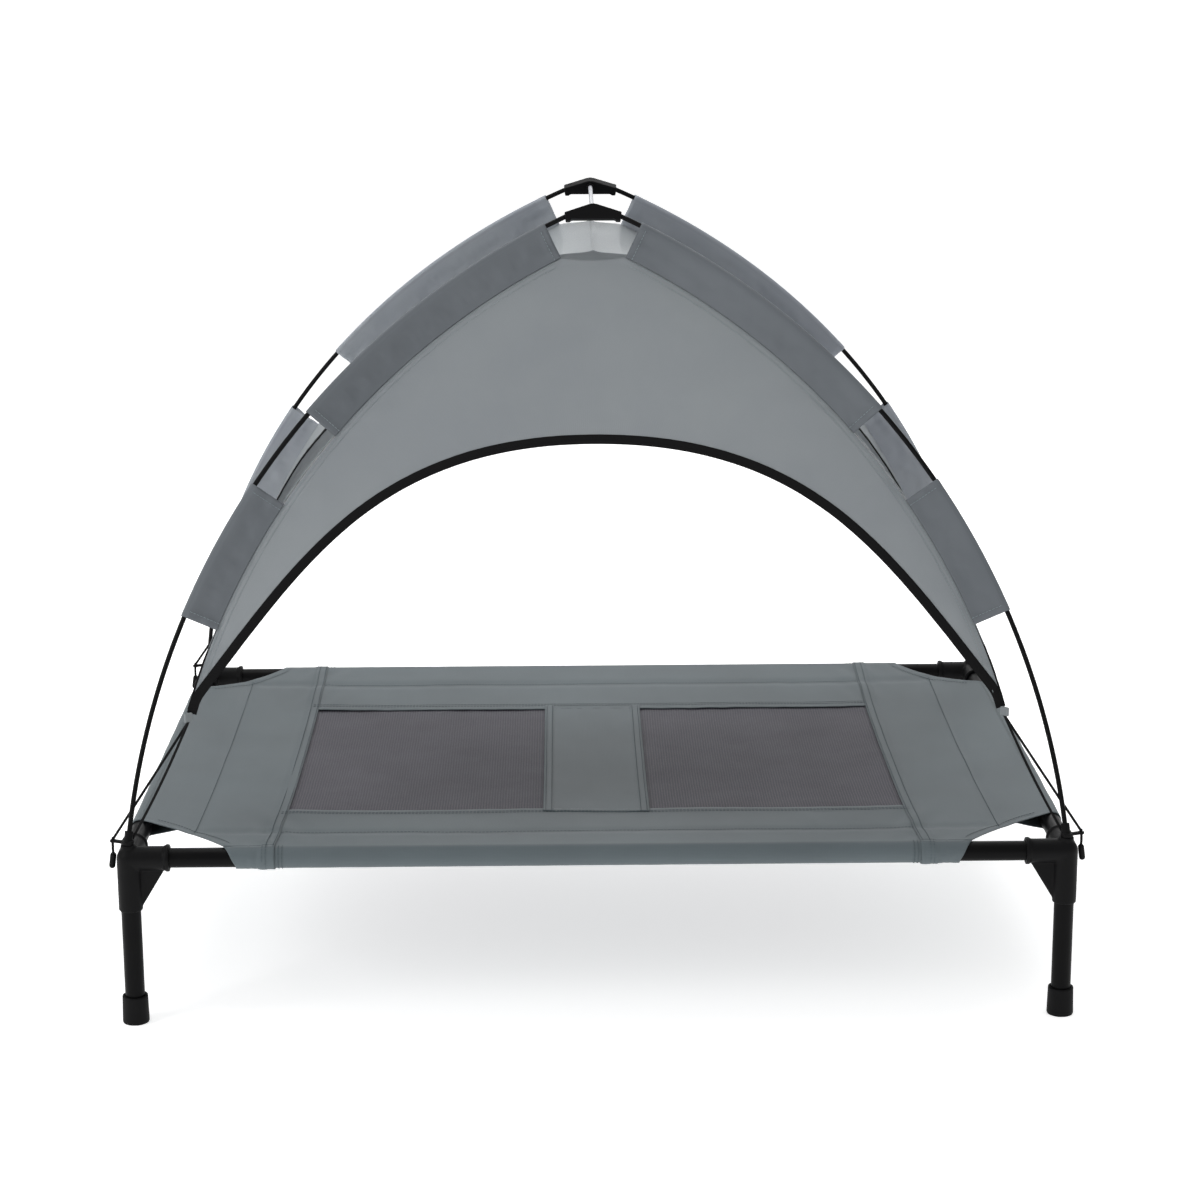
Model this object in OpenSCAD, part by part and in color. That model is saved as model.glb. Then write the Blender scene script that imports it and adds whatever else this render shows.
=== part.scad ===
// Raised dog bed on a tube frame with a lift-off arched sun canopy.
// Millimetres, +Z up, front of the bed towards -Y, origin on the floor
// under the middle of the bed.  Sub-parts are drawn at the front right
// corner or side and mirrored to the others by place().

/* [Bed frame] */
// Distance between leg axes along the long side
bed_l = 1040; // [860:10:1260]
// Distance between leg axes along the short side
bed_w = 740; // [600:10:900]
// Height of the rail axes above the floor
rail_h = 193; // [160:1:260]
// Outer diameter of the steel tubes
tube_d = 22; // [16:0.5:28]
// Wall thickness of the steel tubes
tube_wall = 1.2; // [0.8:0.1:2]

/* [Corner connectors] */
// Plastic wall around each tube
socket_wall = 2.25; // [1.5:0.25:4]
// Length of the rail sockets from the leg axis
socket_l = 45.4; // [35:0.2:60]
// Length of the leg socket from the rail axis
leg_socket_l = 60; // [40:1:80]
// Distance from the connector's centre to each tube end
tube_seat = 15; // [13:0.5:20]
// How far the collar at a socket's mouth stands out
flange_rim = 1.9; // [1:0.1:4]
// Length of the collar at a socket's mouth
flange_l = 4.6; // [3:0.2:8]
// Thickness of the triangular gussets
gusset_t = 5; // [3:0.5:8]
// Diameter of the boss that carries a canopy pole
boss_d = 17; // [14:0.5:24]
// Height of that boss above the rail axis
boss_h = 16; // [15:0.5:30]

/* [Feet] */
// Height of the foot caps
foot_h = 32; // [20:1:50]
// Diameter of a foot cap at the floor
foot_d = 30; // [27:0.5:40]
// Diameter of a foot cap at its top
foot_top_d = 28.5; // [26:0.5:38]
// Plastic under the end of the leg
foot_floor = 4; // [2:0.5:8]

/* [Bed cloth] */
// Thickness of the cloth
cloth_t = 1.2; // [0.6:0.1:2]
// Distance from the middle to the seams of the end panels
seam_x = 364; // [300:2:400]
// Half of the length of the mesh windows along the short side
mesh_y = 215; // [120:5:240]
// Half of the width of the strip between the mesh windows
strip_x = 62; // [30:2:100]
// Corner cut-out measured along the long rail
cut_x = 105; // [80:5:140]
// Corner cut-out measured along the short rail
cut_y = 95; // [80:5:140]
// How far the cut-out's edge curves in
cut_sag = 10; // [4:1:20]

/* [Canopy frame] */
// Overall height of the bed with its canopy
canopy_h = 889; // [740:1:1070]
// Lean of the two arches towards each other
lean = 18.44; // [12:0.1:22]
// Angle between a pole's foot and the upright in its arch
foot_angle = 5; // [2:0.5:12]
// Diameter of the poles
pole_d = 5.5; // [4:0.5:8]
// Width of the hub at the top of an arch
hub_w = 64.6; // [50:0.2:90]
// Height of the hub in its middle
hub_h = 17.8; // [14:0.2:26]
// Height of the hub at its ends
hub_end_h = 9.4; // [8.5:0.1:14]
// Depth of the hub across the arch
hub_depth = 12; // [9:0.5:20]
// How far a pole goes into the hub
hub_grip = 10; // [6:0.5:16]
// Diameter of the rod between the hubs
rod_d = 5; // [4:0.5:7]
// Length of the plug below a pole, inside the boss
pin_l = 22; // [14:1:25]
// Diameter of that plug
pin_d = 7.4; // [5:0.1:9]

/* [Canopy cloth] */
// Distance from the poles in to the canopy's seams
web = 38; // [20:1:60]
// Lower sleeve's ends, measured up the pole
low_sleeve = [260, 427]; // [200:440]
// Lower end of the upper sleeve, measured up the pole
up_sleeve_start = 527; // [480:5:600]
// Bare pole left between the upper sleeve and the hub
top_bare = 35; // [20:1:60]
// Half of the front panel's width at its top edge
top_half_w = 36; // [30:1:60]
// Height of the panels' lower corners, up the arch
tip_h = 141; // [110:1:180]
// Height of the front opening's crown above those corners
front_rise = 302; // [240:2:340]
// Height of the side opening's crown above those corners
side_rise = 287; // [220:2:300]
// Width of the binding along the openings
bind_w = 11; // [8:1:16]
// Thickness of the binding
bind_t = 2; // [1.6:0.1:3]
// Diameter of the elastic tethers
tether_d = 3; // [2:0.5:4]

/* [Hidden] */
fit_gap = 0.15;       // between a tube and what it sits in
pole_gap = 0.1;       // between a pole or rod and its socket
pin_gap = 0.3;        // between a pole's plug and the boss's bore
seat_gap = 0.2;       // between a pole foot and the boss it stands on
tube_r = tube_d / 2;
socket_r = tube_r + fit_gap + socket_wall;
flange_r = socket_r + flange_rim;
pole_r = pole_d / 2;
sleeve_in = tube_r + fit_gap;
sheet_z = rail_h + sleeve_in;
corner_x = bed_l / 2;
corner_y = bed_w / 2;
arch_steps = 28;      // flats along a curved cloth edge
arc_fn = 360;         // smoothness of the long arcs
gusset_out = socket_l - flange_l - 2;  // stops short of the collar
gusset_down = leg_socket_l - 6;        // and of the leg socket's mouth
collar_d = 14;
collar_t = 4;
ferrule_d = 9.5;
ferrule_l = 13;
ear_w = 7;            // eyelet at the ear's end
arm_w = 5;            // arm out to it
ear_t = 3.2;          // thickness of both
ear_back = (pole_d + tether_d) / 2 + 2.4;  // takes that tether past the pole's back
toggle_d = 7;
toggle_gap = 0.6;     // between a toggle and the connector beside it
ear_reach = socket_r + toggle_d / 2 + toggle_gap;  // out to the outer tether
toggle_l = 19;
toggle_drop = 11;     // from the ear down to the toggle
toggle_tilt = 8;
grommet_d = 9;
grommet_t = 3;
tab_w = 10;
tab_t = 4;
tab_in = 2;           // from the panels' corner in to the middle of the tab
tab_reach = 3;        // from there to each tether, along the tab
tab_hang = 5;         // and down to the tethers' ends
end_gap = 0.5;        // past the end of a tube in its socket
pole_lift = 2.2;      // from the boss up to the pole's end
hub_sag = 0.9;        // how much deeper than their height the hub's ends lie
hub_flat = 4;         // half of the hub's flat top
hub_ease = 0.6;       // easing of the hub's upper corners
hub_taper = 1.4;      // slope of the hub's ends
hub_step = [6, 8];    // length of the step under each end, at its foot and root
ridge_rise = 3;       // the roof's ridge above the front cloth's top edge
past = 60;            // how far cutting outlines run past the cloth

// Each arch is drawn flat: x across the bed, y up the arch, z outwards
arch_z = rail_h + boss_h;
apex_t = (canopy_h - arch_z - hub_depth / 2 * sin(lean)) / cos(lean);
pole_end = [hub_w / 2 - hub_grip, apex_t - hub_end_h - 0.5];
chord = norm([corner_x - pole_end.x, pole_end.y]);
chord_angle = atan2(corner_x - pole_end.x, pole_end.y);
arc_r = chord / (2 * sin(chord_angle - foot_angle));
arc_c = [corner_x - arc_r * cos(foot_angle), -arc_r * sin(foot_angle)];
mm_deg = 180 / (PI * arc_r);
end_angle = foot_angle + 2 * (chord_angle - foot_angle);
foot_start = foot_angle + pole_lift * mm_deg;
seam_r = arc_r - web;
rod_drop = 10;
rod_z = arch_z + (apex_t - rod_drop) * cos(lean);
rod_y = corner_y - (apex_t - rod_drop) * sin(lean);

// x on the seam arc at height t, and t on it at a given x
function seam_x_at(t) = arc_c.x + sqrt(pow(seam_r, 2) - pow(t - arc_c.y, 2));
function seam_t_at(x) = arc_c.y + sqrt(pow(seam_r, 2) - pow(x - arc_c.x, 2));
function up_z(t) = arch_z + t * cos(lean);
function up_y(t) = corner_y - t * sin(lean);

top_t = seam_t_at(top_half_w);
tip_x = seam_x_at(tip_h);
tip_y = up_y(tip_h);
tip_z = up_z(tip_h);

// Crown-to-corner curve of an opening: flat at the crown, then falling
// towards the corner at flare_angle
flare_angle = 51;
function flare(w, h, u) =
    let (p1 = [0.57 * w, h],
         p2 = [w, 0] + 0.42 * w * [-cos(flare_angle), sin(flare_angle)],
         v = 1 - u)
    v * v * v * [0, h] + 3 * v * v * u * p1 + 3 * v * u * u * p2 + u * u * u * [w, 0];
// The same curve moved outwards by d
function flare_off(w, h, u, d) =
    let (e = 0.01,
         a = flare(w, h, max(u - e, 0)),
         b = flare(w, h, min(u + e, 1)),
         n = [a.y - b.y, b.x - a.x] / norm(b - a))
    flare(w, h, u) + d * n;
function half_curve(w, h, d) =
    [for (i = [0:arch_steps]) flare_off(w, h, i / arch_steps, d)];
function mirror_x(pts) =
    [for (i = [len(pts) - 1:-1:1]) [-pts[i].x, pts[i].y]];
function full_curve(w, h, d) =
    let (half = half_curve(w, h, d)) concat(mirror_x(half), half);
function reversed(pts) = [for (i = [len(pts) - 1:-1:0]) pts[i]];
// The curved side of the roof, as (x, z) points at radius r
function side_curve(r, t0) =
    let (a0 = asin((t0 - arc_c.y) / seam_r), a1 = acos((top_half_w - arc_c.x) / seam_r))
    [for (i = [0:arch_steps])
        let (a = a0 + (a1 - a0) * i / arch_steps)
        [arc_c.x + r * cos(a), up_z(arc_c.y + r * sin(a))]];

corners = [[-1, -1], [1, -1], [-1, 1], [1, 1]];

// Puts a front right sub-part at the side given by the signs
module place(sx, sy) {
    mirror([sx < 0 ? 1 : 0, 0, 0]) mirror([0, sy > 0 ? 1 : 0, 0]) children();
}

// The flat of the front arch: x across, y up the arch, z outwards
module on_arch() {
    translate([0, -corner_y, arch_z]) rotate([90 - lean, 0, 0]) children();
}

// Sweeps a (radius, outwards) profile round the pole's arc
module along_pole(from, to) {
    translate([arc_c.x, arc_c.y, 0]) rotate([0, 0, from])
        rotate_extrude(angle = to - from, $fn = arc_fn) children();
}

module tube(length, wall = tube_wall) {
    difference() {
        cylinder(r = tube_r, h = length, $fn = 64);
        translate([0, 0, -1]) cylinder(r = tube_r - wall, h = length + 2, $fn = 64);
    }
}

// A round bar from one point to another
module strand(a, b, d) {
    v = b - a;
    translate(a) rotate([0, acos(v.z / norm(v)), atan2(v.y, v.x)])
        cylinder(d = d, h = norm(v), $fn = 24);
}

// ---- bed frame ----

module rail_socket() {
    cylinder(r = socket_r, h = socket_l, $fn = 64);
    translate([0, 0, socket_l - flange_l]) cylinder(r = flange_r, h = flange_l, $fn = 64);
}

module gusset() {
    rotate([90, 0, 0]) linear_extrude(gusset_t, center = true)
        polygon([[0, 0], [gusset_out, -socket_r + 0.5], [gusset_out, -socket_r - 0.5],
                 [socket_r + 1, -gusset_down], [0, -gusset_down]]);
}

module tube_bore(length) {
    translate([0, 0, tube_seat - end_gap]) cylinder(r = tube_r + fit_gap, h = length, $fn = 64);
}

module connector(sx, sy) {
    color("#1c1c1e") place(sx, sy) translate([corner_x, -corner_y, rail_h]) difference() {
        union() {
            sphere(r = socket_r, $fn = 64);
            rotate([0, -90, 0]) rail_socket();
            rotate([-90, 0, 0]) rail_socket();
            rotate([180, 0, 0]) cylinder(r = socket_r, h = leg_socket_l, $fn = 64);
            cylinder(d = boss_d, h = boss_h, $fn = 48);
            rotate([0, 0, 180]) gusset();
            rotate([0, 0, 90]) gusset();
        }
        rotate([0, -90, 0]) tube_bore(socket_l);
        rotate([-90, 0, 0]) tube_bore(socket_l);
        rotate([180, 0, 0]) tube_bore(leg_socket_l);
        translate([0, 0, boss_h - pin_l - 1])
            cylinder(r = pin_d / 2 + pin_gap, h = pin_l + 2, $fn = 48);
    }
}

module long_rail(sy) {
    length = bed_l - 2 * tube_seat;
    color("#222224") place(1, sy) translate([-length / 2, -corner_y, rail_h])
        rotate([0, 90, 0]) tube(length);
}

module short_rail(sx) {
    length = bed_w - 2 * tube_seat;
    color("#222224") place(sx, -1) translate([corner_x, length / 2, rail_h])
        rotate([90, 0, 0]) tube(length);
}

module leg(sx, sy) {
    color("#222224") place(sx, sy) translate([corner_x, -corner_y, foot_floor])
        tube(rail_h - tube_seat - foot_floor);
}

module foot(sx, sy) {
    color("#18181a") place(sx, sy) translate([corner_x, -corner_y, 0]) difference() {
        cylinder(d1 = foot_d, d2 = foot_top_d, h = foot_h, $fn = 64);
        translate([0, 0, foot_floor]) cylinder(r = tube_r + fit_gap, h = foot_h, $fn = 64);
    }
}

// ---- bed cloth ----

// Cloth folded round a rail: a ring of the given length along z
module rail_sleeve(length) {
    difference() {
        cylinder(r = sleeve_in + cloth_t, h = length, center = true, $fn = 64);
        cylinder(r = sleeve_in, h = length + 2, center = true, $fn = 64);
    }
}

// Flat cloth between two corners given as [x, y]
module sheet(a, b) {
    translate([a.x, a.y, sheet_z]) cube([b.x - a.x, b.y - a.y, cloth_t]);
}

module bed_border(sy) {
    color("#6d7679") place(1, sy) {
        difference() {
            union() {
                translate([0, -corner_y, rail_h]) rotate([0, 90, 0])
                    cylinder(r = sleeve_in + cloth_t, h = 2 * seam_x, center = true, $fn = 64);
                sheet([-seam_x, -corner_y], [seam_x, -mesh_y]);
            }
            translate([0, -corner_y, rail_h]) rotate([0, 90, 0])
                cylinder(r = sleeve_in, h = 2 * seam_x + 2, center = true, $fn = 64);
        }
    }
}

// End panel with a sleeve on its short rail and one on each long rail.
// The sleeves run part-way into the corner cut-outs, which trim them.
module bed_end(sx) {
    cut_c = norm([cut_x, cut_y]);
    cut_r = cut_c * cut_c / (8 * cut_sag) + cut_sag / 2;
    out = [cut_y, cut_x] / cut_c;
    cut_o = [corner_x - cut_x / 2, corner_y - cut_y / 2] + (cut_r - cut_sag) * out;
    short_l = bed_w - cut_y;
    long_l = corner_x - cut_x / 2 - seam_x;
    color("#6d7679") place(sx, -1) difference() {
        union() {
            sheet([seam_x, -corner_y], [corner_x, corner_y]);
            translate([corner_x, 0, rail_h]) rotate([90, 0, 0]) rail_sleeve(short_l);
            for (s = [-1, 1])
                translate([seam_x + long_l / 2, s * corner_y, rail_h])
                    rotate([0, 90, 0]) rail_sleeve(long_l);
        }
        for (s = [-1, 1])
            translate([cut_o.x, s * cut_o.y, rail_h - tube_d])
                cylinder(r = cut_r, h = 2 * tube_d, $fn = arc_fn);
    }
}

module bed_centre_strip() {
    color("#6d7679") sheet([-strip_x, -mesh_y], [strip_x, mesh_y]);
}

module mesh_window(sx) {
    color("#55565a") place(sx, -1) sheet([strip_x, -mesh_y], [seam_x, mesh_y]);
}

// ---- canopy frame ----

module pole(sx, sy) {
    color("#161618") place(sx, sy) on_arch() along_pole(foot_start, end_angle)
        translate([arc_r, 0]) circle(r = pole_r, $fn = 32);
}

// Plug, collar, ferrule and tether ear at the foot of a pole
module pole_foot(sx, sy) {
    ear_length = norm([ear_reach, ear_back]);
    ear_turn = atan2(ear_back, ear_reach);
    color("#1c1c1e") place(sx, sy) difference() {
        union() {
            translate([corner_x, -corner_y, arch_z + seat_gap]) {
                cylinder(d = collar_d, h = collar_t, $fn = 48);
                translate([0, 0, -pin_l]) cylinder(d = pin_d, h = pin_l + 1, $fn = 48);
                translate([0, 0, (collar_t - ear_t) / 2]) rotate([0, 0, ear_turn]) {
                    translate([0, -arm_w / 2, 0]) cube([ear_length, arm_w, ear_t]);
                    translate([ear_length, 0, 0]) cylinder(d = ear_w, h = ear_t, $fn = 32);
                }
            }
            on_arch() translate([corner_x, 2, 0]) rotate([0, 0, foot_angle])
                rotate([-90, 0, 0]) cylinder(d = ferrule_d, h = ferrule_l, $fn = 48);
        }
        on_arch() along_pole(foot_start, foot_start + 2 * ferrule_l * mm_deg)
            translate([arc_r, 0]) circle(r = pole_r + pole_gap, $fn = 32);
        translate([corner_x + ear_reach, -corner_y + ear_back, arch_z - 1])
            cylinder(d = tether_d + 2 * pole_gap, h = 2 * collar_t, $fn = 32);
    }
}

// Gull-shaped block that joins the two poles of an arch
module hub(sy) {
    half_w = hub_w / 2;
    end_top = apex_t - hub_end_h - hub_sag;
    end_low = end_top - hub_end_h;
    half = [[0, apex_t], [hub_flat, apex_t - hub_ease],
            [half_w - hub_ease, end_top + hub_ease], [half_w, end_top],
            [half_w - hub_taper, end_low], [half_w - hub_step[0], end_low],
            [half_w - hub_step[1], apex_t - hub_h], [0, apex_t - hub_h]];
    color("#1a1a1c") place(1, sy) difference() {
        on_arch() difference() {
            for (s = [0, 1]) mirror([s, 0, 0])
                linear_extrude(hub_depth, center = true) polygon(half);
            for (s = [0, 1]) mirror([s, 0, 0])
                along_pole(end_angle - 2 * hub_grip * mm_deg, end_angle)
                    translate([arc_r, 0]) circle(r = pole_r + pole_gap, $fn = 32);
        }
        translate([0, -rod_y, rod_z]) rotate([-90, 0, 0])
            cylinder(d = rod_d + 2 * pole_gap, h = hub_depth, $fn = 32);
    }
}

module ridge_rod() {
    color("#b9babd") translate([0, 0, rod_z]) rotate([90, 0, 0])
        cylinder(d = rod_d, h = 2 * rod_y, center = true, $fn = 32);
}

// A ring round the rod against the inner face of each hub
module rod_grommets() {
    face_y = rod_y - hub_depth / 2 / cos(lean) - grommet_d / 2 * tan(lean);
    color("#101012") for (s = [-1, 1])
        translate([0, s * (face_y - grommet_t / 2), rod_z]) rotate([90, 0, 0]) difference() {
            cylinder(d = grommet_d, h = grommet_t, center = true, $fn = 48);
            cylinder(d = rod_d + 2 * pole_gap, h = grommet_t + 2, center = true, $fn = 48);
        }
}

// ---- canopy cloth ----

// Cloth channel round a pole with its web down to the seam
module sleeve_piece(from, to) {
    channel = pole_r + pole_gap;
    along_pole(from, to) difference() {
        union() {
            translate([arc_r, 0]) circle(r = channel + cloth_t, $fn = 32);
            translate([seam_r, -cloth_t / 2]) square([web, cloth_t]);
        }
        translate([arc_r, 0]) circle(r = channel, $fn = 32);
    }
}

module sleeves(sx, sy) {
    color("#6b7376") place(sx, sy) on_arch() {
        sleeve_piece(foot_angle + low_sleeve[0] * mm_deg, foot_angle + low_sleeve[1] * mm_deg);
        sleeve_piece(foot_angle + up_sleeve_start * mm_deg, end_angle - top_bare * mm_deg);
    }
}

// Keeps what lies inside the two seam arcs of a flat arch
module inside_seams(t, inset = 0) {
    intersection() {
        children();
        intersection_for (s = [0, 1]) mirror([s, 0, 0]) translate([arc_c.x, arc_c.y, -t])
            cylinder(r = seam_r - inset, h = 2 * t, $fn = arc_fn);
    }
}

module panel_front(sy) {
    edge = [for (p = full_curve(tip_x, front_rise, bind_w)) [p.x, p.y + tip_h]];
    side = tip_x + past;
    low = [[side, tip_h], [side, top_t], [-side, top_t], [-side, tip_h]];
    color("#7c8486") place(1, sy) on_arch() inside_seams(cloth_t)
        linear_extrude(cloth_t, center = true) polygon(concat(edge, low));
}

module binding_front(sy) {
    outer = full_curve(tip_x, front_rise, bind_w);
    inner = full_curve(tip_x, front_rise, 0);
    color("#121214") place(1, sy) on_arch() inside_seams(bind_t, cloth_t)
        translate([0, tip_h, 0]) linear_extrude(bind_t, center = true)
            polygon(concat(outer, reversed(inner)));
}

// Space between the two leaning arches, clear of the front and rear cloth
module between_arches(gap) {
    off = gap / cos(lean);
    low = up_y(0) - off;
    high = up_y(apex_t) - off;
    rotate([90, 0, 90]) linear_extrude(bed_l, center = true)
        polygon([[-low, arch_z], [low, arch_z], [high, up_z(apex_t)], [-high, up_z(apex_t)]]);
}

// Curved cloth from a lower corner up to the ridge, at the right side
module side_shell(outer_r, inner_r) {
    out = side_curve(outer_r, tip_h);
    inn = side_curve(inner_r, tip_h);
    drop = (outer_r - inner_r) / sin(chord_angle);
    ridge_z = up_z(top_t) + ridge_rise;
    rotate([90, 0, 0]) linear_extrude(bed_w, center = true)
        polygon(concat(out, [[0, ridge_z], [0, ridge_z - drop]], reversed(inn)));
}

// Upright prism through the right side over an opening's outline
module side_cut(pts) {
    translate([top_half_w, 0, tip_z]) rotate([90, 0, 90]) linear_extrude(corner_x) polygon(pts);
}

module panel_side(sx) {
    edge = full_curve(tip_y, side_rise, bind_w);
    color("#8c9395") place(sx, -1) difference() {
        intersection() {
            side_shell(seam_r, seam_r - cloth_t);
            between_arches(cloth_t / 2);
        }
        side_cut(concat(edge, [[tip_y + past, -past], [-tip_y - past, -past]]));
    }
}

module binding_side(sx) {
    lip = (bind_t - cloth_t) / 2;
    outer = full_curve(tip_y, side_rise, bind_w);
    inner = full_curve(tip_y, side_rise, 0);
    color("#121214") place(sx, -1) intersection() {
        side_shell(seam_r, seam_r - cloth_t - lip);
        between_arches(bind_t / 2);
        side_cut(concat(outer, reversed(inner)));
    }
}

// Corner of the canopy where tabs and tethers meet, front right
tab_c = [tip_x - tab_in, -tip_y + tab_in, tip_z - tab_in];
tether_in = [corner_x - 4, -corner_y + 5, arch_z + collar_t + seat_gap];
tether_out = [corner_x + ear_reach, -corner_y + ear_back, arch_z + collar_t + seat_gap];
toggle_top = [tether_out.x, tether_out.y, arch_z - toggle_drop];

module corner_tabs() {
    color("#a9adaf") for (c = corners) place(c[0], c[1])
        translate(tab_c) rotate([0, 0, 45]) cube([tab_t, tab_w, tab_w], center = true);
}

module tether(sx, sy) {
    color("#121214") place(sx, sy) {
        strand(tether_in, tab_c + [0, -tab_reach, -tab_hang], tether_d);
        strand(tether_out, tab_c + [0, tab_reach, -tab_hang], tether_d);
        strand(toggle_top, tether_out, tether_d);
    }
}

// Round-ended cord end that keeps each outer strand in its ear
module tether_toggles() {
    bead = toggle_d / 2;
    color("#161618") for (c = corners) place(c[0], c[1])
        translate(toggle_top) rotate([0, -toggle_tilt, 0]) {
            translate([0, 0, -bead]) sphere(r = bead, $fn = 32);
            translate([0, 0, bead - toggle_l]) sphere(r = bead, $fn = 32);
            translate([0, 0, bead - toggle_l])
                cylinder(r = bead, h = toggle_l - 2 * bead, $fn = 32);
        }
}

connector(-1, -1);  // connector_front_left
connector(1, -1);  // connector_front_right
connector(-1, 1);  // connector_rear_left
connector(1, 1);  // connector_rear_right
long_rail(-1);  // long_rail_front
long_rail(1);  // long_rail_rear
short_rail(-1);  // short_rail_left
short_rail(1);  // short_rail_right
leg(-1, -1);  // leg_front_left
leg(1, -1);  // leg_front_right
leg(-1, 1);  // leg_rear_left
leg(1, 1);  // leg_rear_right
foot(-1, -1);  // foot_front_left
foot(1, -1);  // foot_front_right
foot(-1, 1);  // foot_rear_left
foot(1, 1);  // foot_rear_right
bed_border(-1);  // bed_border_front
bed_border(1);  // bed_border_rear
bed_end(-1);  // bed_end_left
bed_end(1);  // bed_end_right
bed_centre_strip();
mesh_window(-1);  // mesh_left
mesh_window(1);  // mesh_right
pole(-1, -1);  // pole_front_left
pole(1, -1);  // pole_front_right
pole(-1, 1);  // pole_rear_left
pole(1, 1);  // pole_rear_right
pole_foot(-1, -1);  // pole_foot_front_left
pole_foot(1, -1);  // pole_foot_front_right
pole_foot(-1, 1);  // pole_foot_rear_left
pole_foot(1, 1);  // pole_foot_rear_right
hub(-1);  // hub_front
hub(1);  // hub_rear
ridge_rod();
rod_grommets();
panel_front(-1);
panel_front(1);  // panel_rear
panel_side(-1);  // panel_left
panel_side(1);  // panel_right
sleeves(-1, -1);  // sleeves_front_left
sleeves(1, -1);  // sleeves_front_right
sleeves(-1, 1);  // sleeves_rear_left
sleeves(1, 1);  // sleeves_rear_right
binding_front(-1);
binding_front(1);  // binding_rear
binding_side(-1);  // binding_left
binding_side(1);  // binding_right
tether(-1, -1);  // tether_front_left
tether(1, -1);  // tether_front_right
tether(-1, 1);  // tether_rear_left
tether(1, 1);  // tether_rear_right
tether_toggles();
corner_tabs();
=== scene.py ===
import math

import bmesh
import bpy
import numpy as np
from mathutils import Matrix, Vector, noise


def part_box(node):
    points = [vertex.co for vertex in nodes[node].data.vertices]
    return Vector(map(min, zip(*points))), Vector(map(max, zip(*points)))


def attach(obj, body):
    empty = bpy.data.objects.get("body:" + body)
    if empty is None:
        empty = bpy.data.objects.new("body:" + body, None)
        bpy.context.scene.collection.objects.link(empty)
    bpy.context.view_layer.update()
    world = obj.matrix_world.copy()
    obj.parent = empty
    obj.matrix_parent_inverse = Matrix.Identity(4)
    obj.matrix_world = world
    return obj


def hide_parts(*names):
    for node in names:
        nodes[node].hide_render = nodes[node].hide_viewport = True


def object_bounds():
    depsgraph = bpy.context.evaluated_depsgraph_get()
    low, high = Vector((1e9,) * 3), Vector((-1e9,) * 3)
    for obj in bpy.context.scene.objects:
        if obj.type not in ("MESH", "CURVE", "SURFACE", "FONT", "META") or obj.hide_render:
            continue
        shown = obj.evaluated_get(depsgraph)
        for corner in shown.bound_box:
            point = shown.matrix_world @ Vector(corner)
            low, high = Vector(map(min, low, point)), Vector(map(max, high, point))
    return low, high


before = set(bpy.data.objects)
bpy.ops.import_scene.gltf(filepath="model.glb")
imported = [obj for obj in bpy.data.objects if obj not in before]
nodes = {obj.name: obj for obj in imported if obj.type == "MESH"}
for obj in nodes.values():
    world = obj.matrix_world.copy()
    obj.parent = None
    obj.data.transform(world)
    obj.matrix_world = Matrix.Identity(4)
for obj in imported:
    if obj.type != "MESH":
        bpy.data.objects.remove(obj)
cadLow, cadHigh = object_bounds()
print("frame loaded", len(nodes), "nodes")


def lerp(a, b, f):
    return a + (b - a) * f


def smoothStep(f):
    f = min(max(f, 0.0), 1.0)
    return f * f * (3 - 2 * f)


def hexLinear(code):
    # sRGB hex to the linear colour that the shaders want
    parts = [int(code[i:i + 2], 16) / 255 for i in (0, 2, 4)]
    lin = [c / 12.92 if c <= 0.04045 else ((c + 0.055) / 1.055) ** 2.4 for c in parts]
    return (*lin, 1.0)


def addNode(tree, kind, values=None, links=None, **settings):
    node = tree.nodes.new(kind)
    for key, value in settings.items():
        setattr(node, key, value)
    for socket, value in (values or {}).items():
        node.inputs[socket].default_value = value
    for socket, source in (links or {}).items():
        tree.links.new(source, node.inputs[socket])
    return node


def newMaterial(name, **shader):
    mat = bpy.data.materials.new(name)
    mat.use_nodes = True
    tree = mat.node_tree
    tree.nodes.clear()
    out = addNode(tree, "ShaderNodeOutputMaterial")
    bsdf = addNode(tree, "ShaderNodeBsdfPrincipled", shader)
    tree.links.new(bsdf.outputs["BSDF"], out.inputs["Surface"])
    return mat, tree, bsdf


def finishPiece(obj, body, material, replaced=()):
    obj.data.materials.clear()
    obj.data.materials.append(material)
    for p in obj.data.polygons:
        p.use_smooth = True
    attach(obj, body)
    if replaced:
        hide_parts(*replaced)
    return obj


def objectFrom(bm, name):
    mesh = bpy.data.meshes.new(name)
    bm.to_mesh(mesh)
    bm.free()
    obj = bpy.data.objects.new(name, mesh)
    bpy.context.scene.collection.objects.link(obj)
    return obj


def gridPatches(name, patches, merge=2e-5):
    # each patch is (across, along, size, place): a flat grid that place(u, v) carries
    # to its shape, with u and v from 0 to 1; its UV map is in metres
    bm = bmesh.new()
    uvLayer = bm.loops.layers.uv.new("cloth")
    for across, along, size, place in patches:
        made = bmesh.ops.create_grid(bm, x_segments=across, y_segments=along, size=0.5)
        flat = {v: (v.co.x + 0.5, v.co.y + 0.5) for v in made["verts"]}
        for face in {f for v in made["verts"] for f in v.link_faces}:
            for loop in face.loops:
                u, v = flat[loop.vert]
                loop[uvLayer].uv = (u * size[0], v * size[1])
        for vert, (u, v) in flat.items():
            vert.co = place(u, v)
    bmesh.ops.remove_doubles(bm, verts=bm.verts, dist=merge)
    bmesh.ops.recalc_face_normals(bm, faces=bm.faces)
    return objectFrom(bm, name)


def thicken(obj, thickness):
    mod = obj.modifiers.new("thickness", "SOLIDIFY")
    mod.thickness = thickness
    mod.offset = 0
    return obj


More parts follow.
